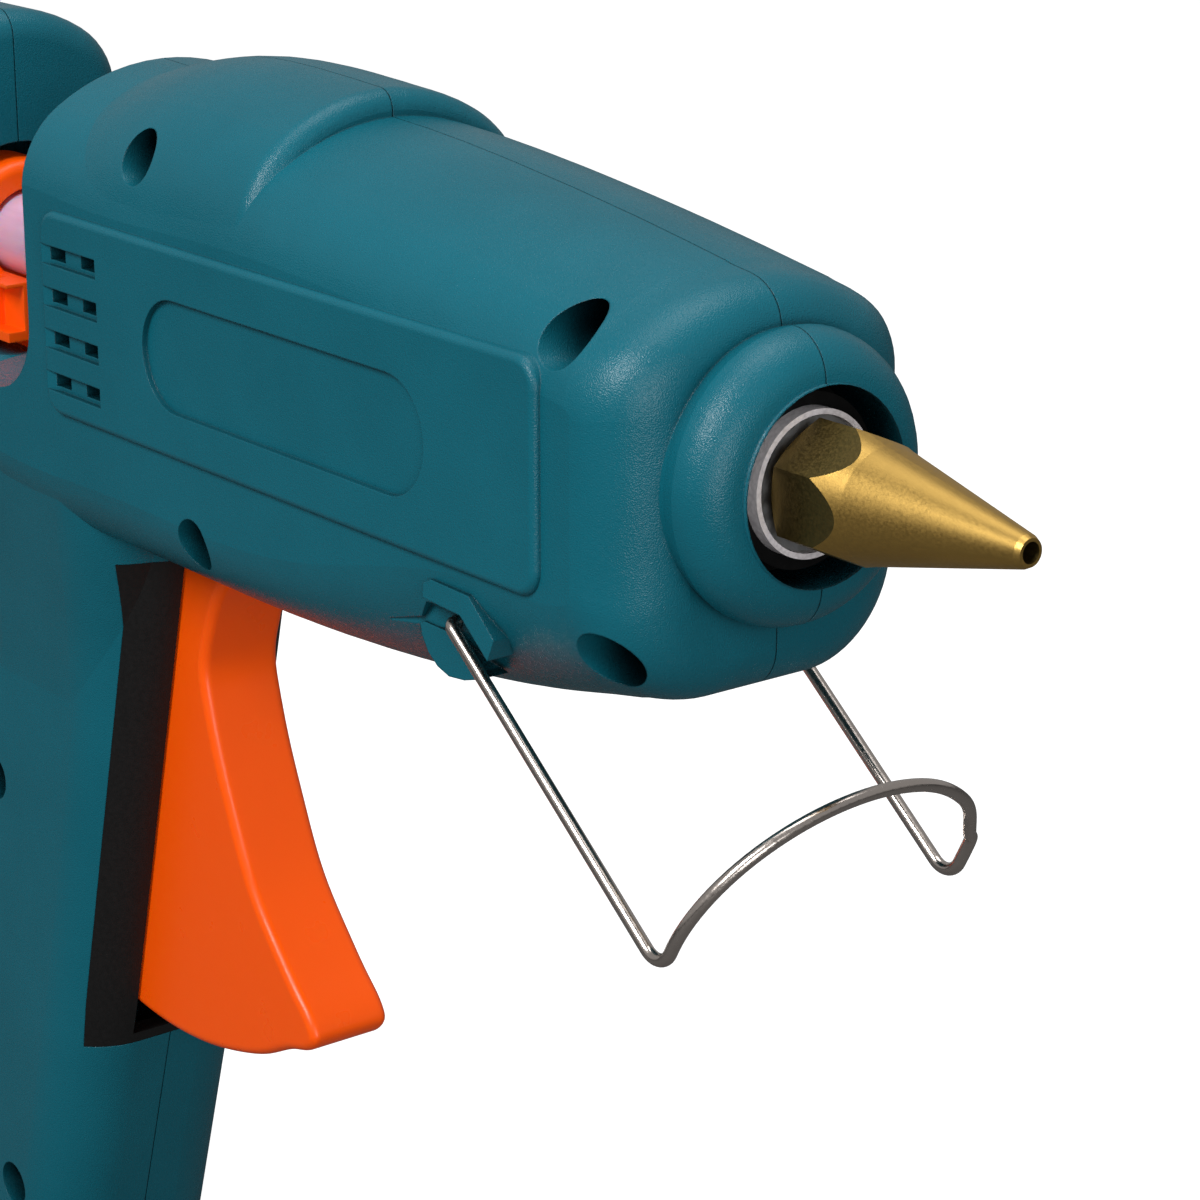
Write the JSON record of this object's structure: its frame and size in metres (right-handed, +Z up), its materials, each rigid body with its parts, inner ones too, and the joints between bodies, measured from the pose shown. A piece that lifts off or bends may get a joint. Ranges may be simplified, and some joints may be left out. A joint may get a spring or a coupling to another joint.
{
  "type": "glue gun",
  "caption": "Hot-melt glue gun with a long trigger under a rounded barrel, brass nozzle, open stick window, hinged wire stand and screwed two-part casing.",
  "frame": {"origin": "under the middle of the gun's box, on the face that the handle stands on", "axes": "+X forward along the barrel and nozzle, +Y to the gun's left, +Z up along the handle"},
  "size_m": [0.2156, 0.043, 0.181],
  "materials": {
    "teal_plastic": "fine textured moulded plastic",
    "orange_plastic": "smooth moulded plastic",
    "black_plastic": "fine textured moulded plastic",
    "stick_glue": "translucent",
    "turned_brass": "turned and milled",
    "cast_aluminium": "as cast",
    "white_sleeve": "smooth",
    "heat_rubber": "matt",
    "inlet_silicone": "matt",
    "heater_plate": "matt ceramic",
    "insulating_film": "film",
    "spring_steel": "bright",
    "nickel_wire": "bright nickel plate",
    "screw_steel": "black zinc",
    "lead_insulation": "smooth",
    "terminal_plastic": "smooth"
  },
  "bodies": {
    "casing": {"right_shell": "teal_plastic", "left_shell": "teal_plastic", "grip_insert": "black_plastic", "trigger_pin": "spring_steel", "return_spring": "spring_steel", "rear_guide": "black_plastic", "inlet_sleeve": "inlet_silicone", "sleeve_clip": "spring_steel", "melt_chamber": "cast_aluminium", "ptc_heater": "heater_plate", "ptc_insulator": "insulating_film", "heater_clip": "spring_steel", "nozzle_sleeve": "white_sleeve", "neck_support": "heat_rubber", "nozzle": "turned_brass", "live_lead": "lead_insulation", "neutral_lead": "lead_insulation", "terminal_block": "terminal_plastic", "terminal_screws": "spring_steel", "cord_gland": "black_plastic", "housing_screws": "screw_steel"},
    "trigger": {"trigger": "orange_plastic"},
    "carriage": {"carriage": "orange_plastic", "grip_pin": "spring_steel"},
    "grip_plate": {"grip_plate": "spring_steel"},
    "glue_stick": {"glue_stick": "stick_glue"},
    "wire_stand": {"wire_stand": "nickel_wire"}
  },
  "joints": [
    {"name": "trigger_pivot", "type": "hinge", "parent": "casing", "child": "trigger", "pos_m": [-0.0438, 0, 0.112], "axis": [0, 1, 0], "range_deg": [0, 22], "stiffness_Nm_per_rad": 0.12, "springref_deg": -20.05},
    {"name": "carriage_slide", "type": "slide", "parent": "casing", "child": "carriage", "axis": [1, 0, 0], "range_m": [0, 0.0066], "deforming": ["return_spring"]},
    {"name": "grip_plate_tilt", "type": "hinge", "parent": "carriage", "child": "grip_plate", "pos_m": [-0.0942, 0, 0.1402], "axis": [0, -1, 0], "range_deg": [0, 4]},
    {"name": "stick_feed", "type": "slide", "parent": "casing", "child": "glue_stick", "axis": [1, 0, 0], "range_m": [0, 0.0066]},
    {"name": "stand_hinge", "type": "hinge", "parent": "casing", "child": "wire_stand", "pos_m": [0.0418, 0, 0.1303], "axis": [0, 1, 0], "range_deg": [0, 123]}
  ],
  "couplings": [
    {"joint": "carriage_slide", "follows": "trigger_pivot", "m_per_rad": 0.017},
    {"joint": "stick_feed", "follows": "trigger_pivot", "m_per_rad": 0.017},
    {"joint": "grip_plate_tilt", "follows": "trigger_pivot", "ratio": 0.18}
  ]
}
